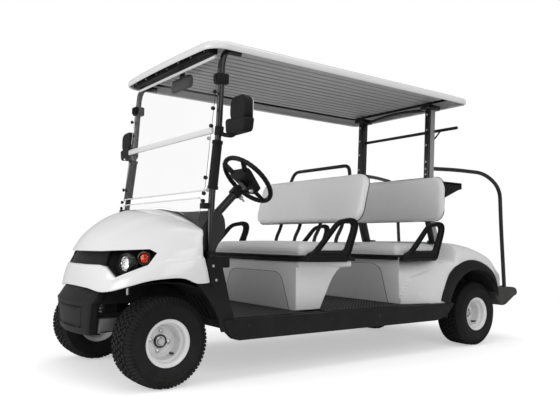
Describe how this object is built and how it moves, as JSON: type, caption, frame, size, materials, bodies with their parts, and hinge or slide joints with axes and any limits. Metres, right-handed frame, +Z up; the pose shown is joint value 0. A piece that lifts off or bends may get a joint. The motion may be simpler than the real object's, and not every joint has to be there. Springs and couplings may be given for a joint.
{
  "type": "golf cart",
  "caption": "Open golf cart with forward-facing benches, hard roof on posts, clear windscreen, steered front wheels and a rear step with handrails.",
  "frame": {"origin": "on the ground, at the middle of the length and width", "axes": "+X forward, +Y to the left, +Z up"},
  "size_m": [3.37, 1.61, 1.868],
  "materials": {
    "white_panel": "gloss",
    "black_plastic": "satin moulded",
    "black_steel": "semi-gloss powder coat",
    "grey_steel": "satin",
    "rubber_mat": "ribbed",
    "battery_case": "matt",
    "tyre": "matt",
    "rim_paint": "satin",
    "clear_screen": "clear",
    "grey_liner": "ribbed",
    "upholstery": "grained vinyl",
    "lamp_red": "gloss"
  },
  "bodies": {
    "chassis": {"chassis": "black_steel", "floor_plate": "grey_steel", "floor_mat": "rubber_mat", "side_sills": "black_plastic", "front_axle": "grey_steel", "rear_axle": "grey_steel", "drive_motor": "grey_steel", "battery_pack": "battery_case", "front_cowl": "white_panel", "nose_panel": "black_plastic", "front_bumper": "black_plastic", "dashboard": "black_plastic", "bulkhead": "black_plastic", "pedals": "black_plastic", "steering_column": "black_plastic", "front_posts": "black_steel", "windscreen": "clear_screen", "roof": "white_panel", "roof_liner": "grey_liner", "rear_posts": "black_steel", "handrails": "black_steel", "bag_bracket": "black_plastic", "mirrors": "black_plastic", "front_seat_box": "white_panel", "seat_pans": "black_plastic", "front_cushion": "upholstery", "front_backrest": "upholstery", "rear_backrest": "upholstery", "backrest_hoop": "black_steel", "hip_rails": "black_plastic", "rear_body": "white_panel", "rear_flares": "black_plastic", "rear_step": "black_plastic", "tail_lamps": "lamp_red"},
    "steering_wheel": {"steering_wheel": "black_plastic"},
    "knuckle_left": {"knuckle_left": "grey_steel"},
    "knuckle_right": {"knuckle_right": "grey_steel"},
    "tie_rod": {"tie_rod": "grey_steel"},
    "rear_seat": {"rear_cushion": "upholstery"},
    "wheel_front_left": {"tyre_front_left": "tyre", "rim_front_left": "rim_paint"},
    "wheel_front_right": {"tyre_front_right": "tyre", "rim_front_right": "rim_paint"},
    "wheel_rear_left": {"tyre_rear_left": "tyre", "rim_rear_left": "rim_paint"},
    "wheel_rear_right": {"tyre_rear_right": "tyre", "rim_rear_right": "rim_paint"}
  },
  "joints": [
    {"name": "steering_turn", "type": "hinge", "parent": "chassis", "child": "steering_wheel", "pos_m": [0.693, 0.263, 1.109], "axis": [-0.7034, 0, 0.7108], "range_deg": [-400, 400]},
    {"name": "left_steer", "type": "hinge", "parent": "chassis", "child": "knuckle_left", "pos_m": [1.35, 0.345, 0.2285], "axis": [0, 0, 1], "range_deg": [-30, 30]},
    {"name": "right_steer", "type": "hinge", "parent": "chassis", "child": "knuckle_right", "pos_m": [1.35, -0.345, 0.2285], "axis": [0, 0, 1], "range_deg": [-30, 30]},
    {"name": "tie_rod_swing", "type": "hinge", "parent": "knuckle_left", "child": "tie_rod", "pos_m": [1.24, 0.345, 0.1885], "axis": [0, 0, 1], "range_deg": [-30, 30]},
    {"name": "front_left_spin", "type": "hinge", "parent": "knuckle_left", "child": "wheel_front_left", "pos_m": [1.35, 0.477, 0.2285], "axis": [0, 1, 0], "continuous": true},
    {"name": "front_right_spin", "type": "hinge", "parent": "knuckle_right", "child": "wheel_front_right", "pos_m": [1.35, -0.477, 0.2285], "axis": [0, 1, 0], "continuous": true},
    {"name": "rear_left_spin", "type": "hinge", "parent": "chassis", "child": "wheel_rear_left", "pos_m": [-1.122, 0.49, 0.2285], "axis": [0, 1, 0], "continuous": true},
    {"name": "rear_right_spin", "type": "hinge", "parent": "chassis", "child": "wheel_rear_right", "pos_m": [-1.122, -0.49, 0.2285], "axis": [0, 1, 0], "continuous": true},
    {"name": "rear_seat_lift", "type": "hinge", "parent": "chassis", "child": "rear_seat", "pos_m": [-0.341, 0, 0.648], "axis": [0, 1, 0], "range_deg": [0, 70]}
  ],
  "couplings": [
    {"joint": "left_steer", "follows": "steering_turn", "ratio": 0.075},
    {"joint": "right_steer", "follows": "steering_turn", "ratio": 0.075},
    {"joint": "tie_rod_swing", "follows": "steering_turn", "ratio": -0.075}
  ]
}
